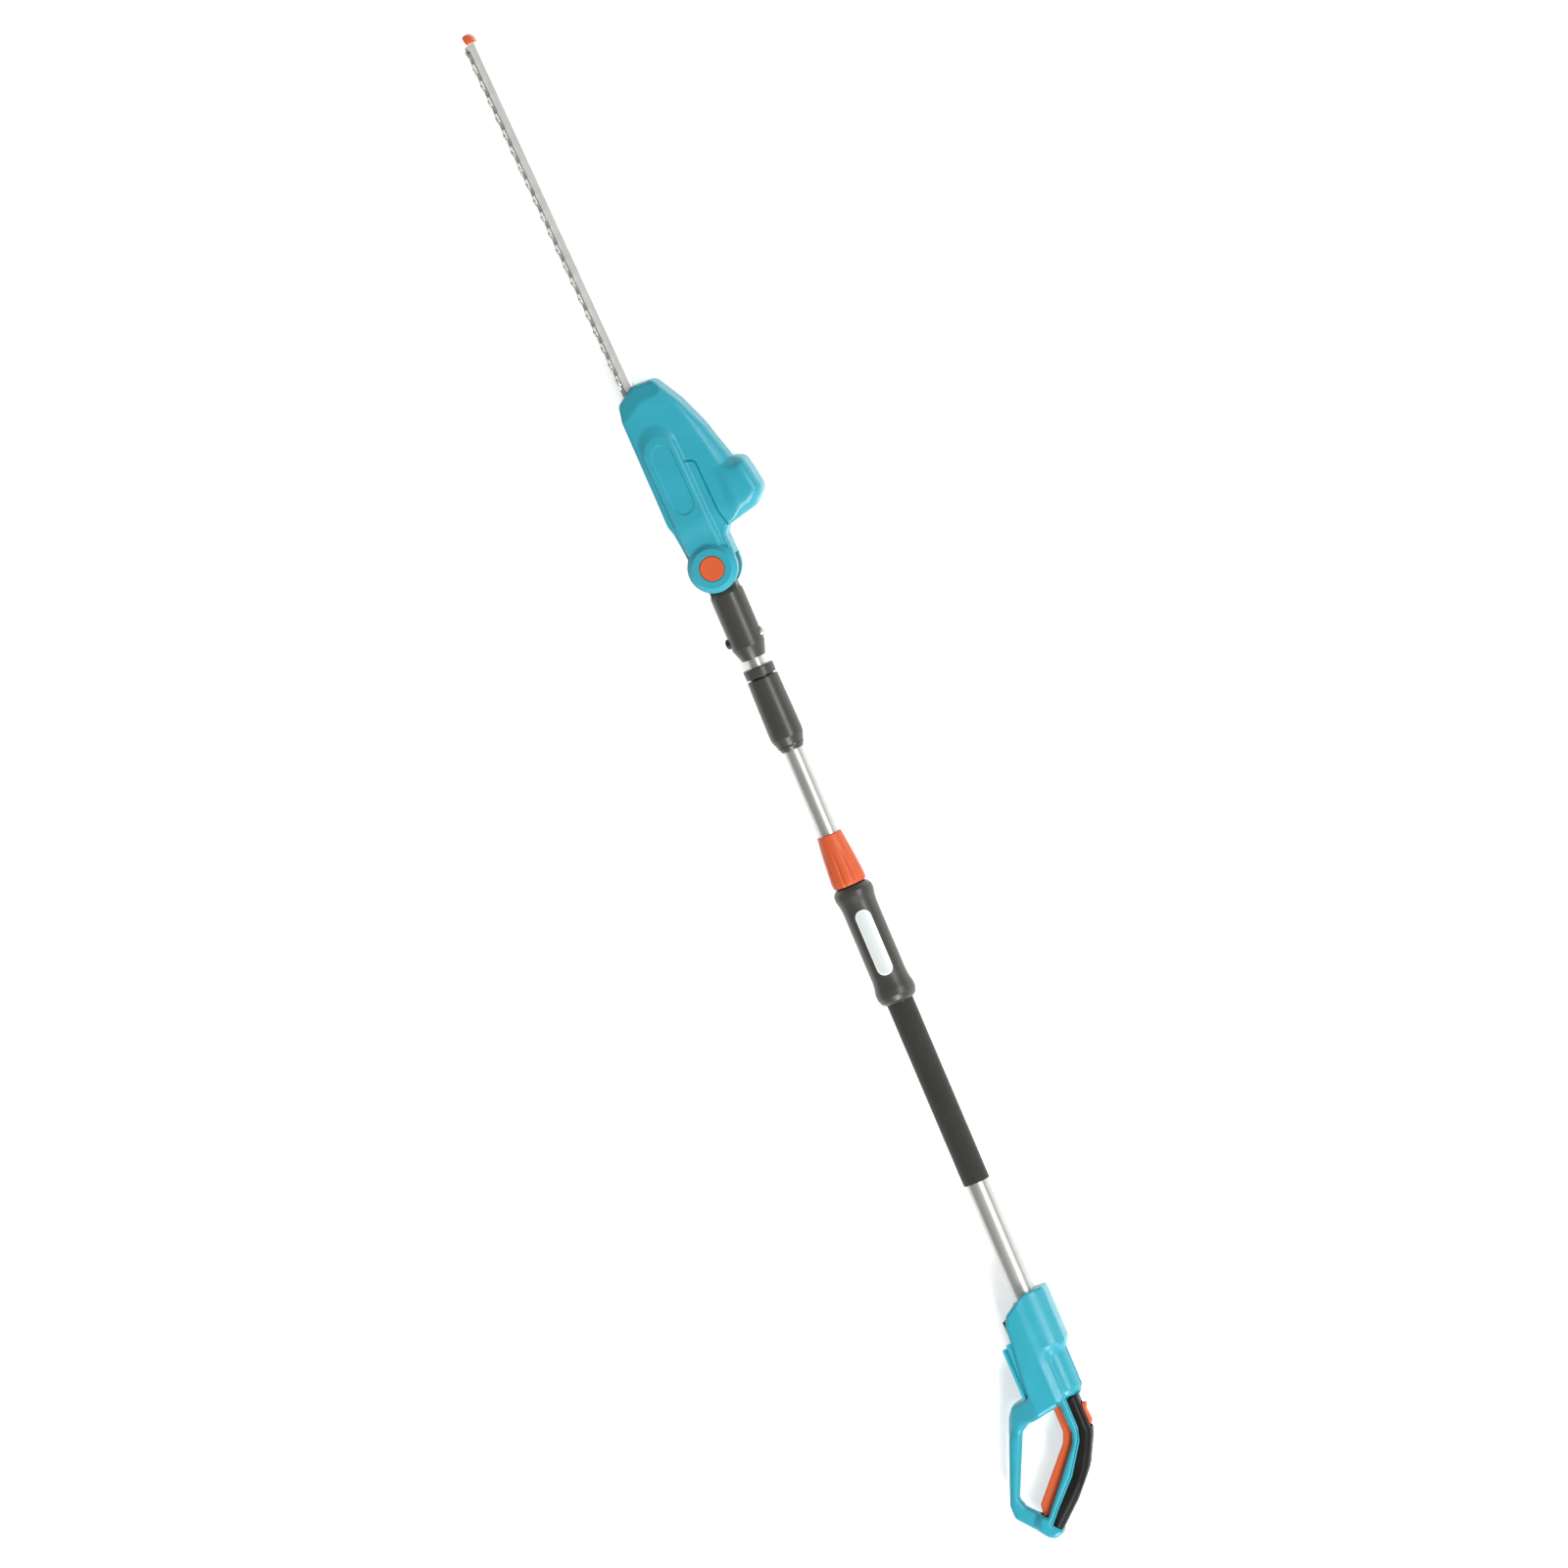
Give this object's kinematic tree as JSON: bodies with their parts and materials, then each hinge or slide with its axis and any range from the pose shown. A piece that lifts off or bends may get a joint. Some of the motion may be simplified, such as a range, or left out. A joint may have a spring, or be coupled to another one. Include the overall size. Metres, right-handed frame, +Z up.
{
  "type": "pole hedge trimmer",
  "caption": "Battery pole hedge trimmer: toothed double blade on a tilting motor head, telescopic pole with foam and moulded grips, loop rear handle with trigger, battery not fitted.",
  "frame": {"origin": "under the middle of the bounding box, on the surface that the tool lies on", "axes": "+X along the pole towards the blade tip, +Y towards the hand guard and battery rails, +Z up along the head's hinge axis; the tool lies on its side"},
  "size_m": [1.9184, 0.208, 0.06],
  "materials": {
    "teal_shell": "fine-grained moulded ABS, satin",
    "orange_trim": "satin moulded plastic",
    "dark_grey_plastic": "satin moulded glass-filled nylon",
    "black_plastic": "matt moulded plastic",
    "soft_grip": "soft-touch overmoulded elastomer",
    "foam": "closed-cell foam rubber, fine pores",
    "pale_label": "satin silver-grey inlay, blank",
    "tube_aluminium": "drawn and anodised, fine lengthwise grain",
    "blade_steel": "stamped and ground",
    "bright_steel": "zinc plated",
    "contact_brass": "plain",
    "circuit_board": "solder mask"
  },
  "bodies": {
    "handle": {"handle_shell_left": "teal_shell", "handle_shell_right": "teal_shell", "handle_screw_1": "bright_steel", "handle_screw_2": "bright_steel", "handle_screw_3": "bright_steel", "rubber_grip": "soft_grip", "trigger_pin": "bright_steel", "trigger_spring": "bright_steel", "lock_spring": "bright_steel", "switch_body": "black_plastic", "control_board": "circuit_board", "battery_rail_left": "teal_shell", "battery_rail_right": "teal_shell", "terminal_block": "black_plastic", "terminal_blade_1": "contact_brass", "terminal_blade_2": "contact_brass", "outer_tube": "tube_aluminium", "foam_sleeve": "foam", "front_grip": "dark_grey_plastic", "grip_badge": "pale_label", "clamp_collet": "black_plastic"},
    "trigger": {"trigger": "orange_trim"},
    "lock_button": {"lock_button": "orange_trim"},
    "clamp_nut": {"clamp_nut": "orange_trim"},
    "inner_pole": {"inner_tube": "tube_aluminium", "coupling_socket": "black_plastic", "coiled_lead": "black_plastic"},
    "coupling_sleeve": {"coupling_sleeve": "dark_grey_plastic"},
    "head_section": {"stub_tube": "tube_aluminium", "coupling_ring": "dark_grey_plastic", "neck_socket": "dark_grey_plastic", "neck_bolt": "black_plastic", "neck_nut": "bright_steel", "detent_ring": "bright_steel"},
    "head": {"head_shell_left": "teal_shell", "head_shell_right": "teal_shell", "head_screw_1": "bright_steel", "head_screw_2": "bright_steel", "head_screw_3": "bright_steel", "motor_can": "bright_steel", "motor_end_cap": "black_plastic", "motor_plate": "tube_aluminium", "bar_plate": "tube_aluminium", "crank_bearing": "bright_steel", "guide_bar": "tube_aluminium", "tip_guard": "orange_trim", "comb_screw_1": "bright_steel", "comb_screw_2": "bright_steel", "comb_screw_3": "bright_steel", "comb_screw_4": "bright_steel", "tilt_spring": "bright_steel"},
    "tilt_button_left": {"tilt_button_left": "orange_trim"},
    "tilt_button_right": {"tilt_button_right": "orange_trim"},
    "motor_rotor": {"motor_shaft": "bright_steel", "motor_armature": "bright_steel", "motor_pinion": "bright_steel"},
    "crank": {"crankshaft": "bright_steel", "crank_gear": "bright_steel"},
    "upper_comb": {"upper_comb": "blade_steel"},
    "lower_comb": {"lower_comb": "blade_steel"}
  },
  "joints": [
    {"name": "trigger_squeeze", "type": "hinge", "parent": "handle", "child": "trigger", "pos_m": [-0.79671, 0.00195, 0.03], "axis": [0, 0, 1], "range_deg": [0, 2.5], "stiffness_Nm_per_rad": 4, "springref_deg": -5.73, "deforming": ["trigger_spring"]},
    {"name": "lock_slide", "type": "slide", "parent": "handle", "child": "lock_button", "axis": [1, 0, 0], "range_m": [-0.004, 0], "stiffness_N_per_m": 600, "springref_m": 0.003, "deforming": ["lock_spring"]},
    {"name": "clamp_twist", "type": "hinge", "parent": "handle", "child": "clamp_nut", "pos_m": [-0.11171, -0.01205, 0.03], "axis": [1, 0, 0], "range_deg": [0, 180]},
    {"name": "telescope", "type": "slide", "parent": "handle", "child": "inner_pole", "axis": [1, 0, 0], "range_m": [0, 0.45], "deforming": ["coiled_lead"]},
    {"name": "sleeve_twist", "type": "hinge", "parent": "inner_pole", "child": "coupling_sleeve", "pos_m": [0.07829, -0.01205, 0.03], "axis": [1, 0, 0], "range_deg": [0, 270]},
    {"name": "head_section_pull", "type": "slide", "parent": "inner_pole", "child": "head_section", "axis": [1, 0, 0], "range_m": [0, 0.06]},
    {"name": "head_tilt", "type": "hinge", "parent": "head_section", "child": "head", "pos_m": [0.26529, -0.01205, 0.03], "axis": [0, 0, 1], "range_deg": [-60, 75]},
    {"name": "tilt_button_left_press", "type": "slide", "parent": "head", "child": "tilt_button_left", "axis": [0, 0, -1], "range_m": [0, 0.004], "stiffness_N_per_m": 800, "springref_m": -0.004, "deforming": ["tilt_spring"]},
    {"name": "tilt_button_right_press", "type": "slide", "parent": "head", "child": "tilt_button_right", "axis": [0, 0, 1], "range_m": [0, 0.004], "stiffness_N_per_m": 800, "springref_m": -0.004, "deforming": ["tilt_spring"]},
    {"name": "crank_turn", "type": "hinge", "parent": "head", "child": "crank", "pos_m": [0.36875, -0.00916, 0.03], "axis": [-0.0279, 0.9996, 0], "continuous": true},
    {"name": "motor_turn", "type": "hinge", "parent": "head", "child": "motor_rotor", "pos_m": [0.34465, -0.05985, 0.03], "axis": [-0.0279, 0.9996, 0], "continuous": true},
    {"name": "upper_comb_stroke", "type": "slide", "parent": "head", "child": "upper_comb", "axis": [0.9996, 0.0279, 0], "range_m": [-0.00755, 0.00305]},
    {"name": "lower_comb_stroke", "type": "slide", "parent": "head", "child": "lower_comb", "axis": [0.9996, 0.0279, 0], "range_m": [-0.00305, 0.00755]}
  ],
  "couplings": [
    {"joint": "motor_turn", "follows": "crank_turn", "ratio": -4.6667},
    {"joint": "lower_comb_stroke", "follows": "upper_comb_stroke", "ratio": -1}
  ]
}
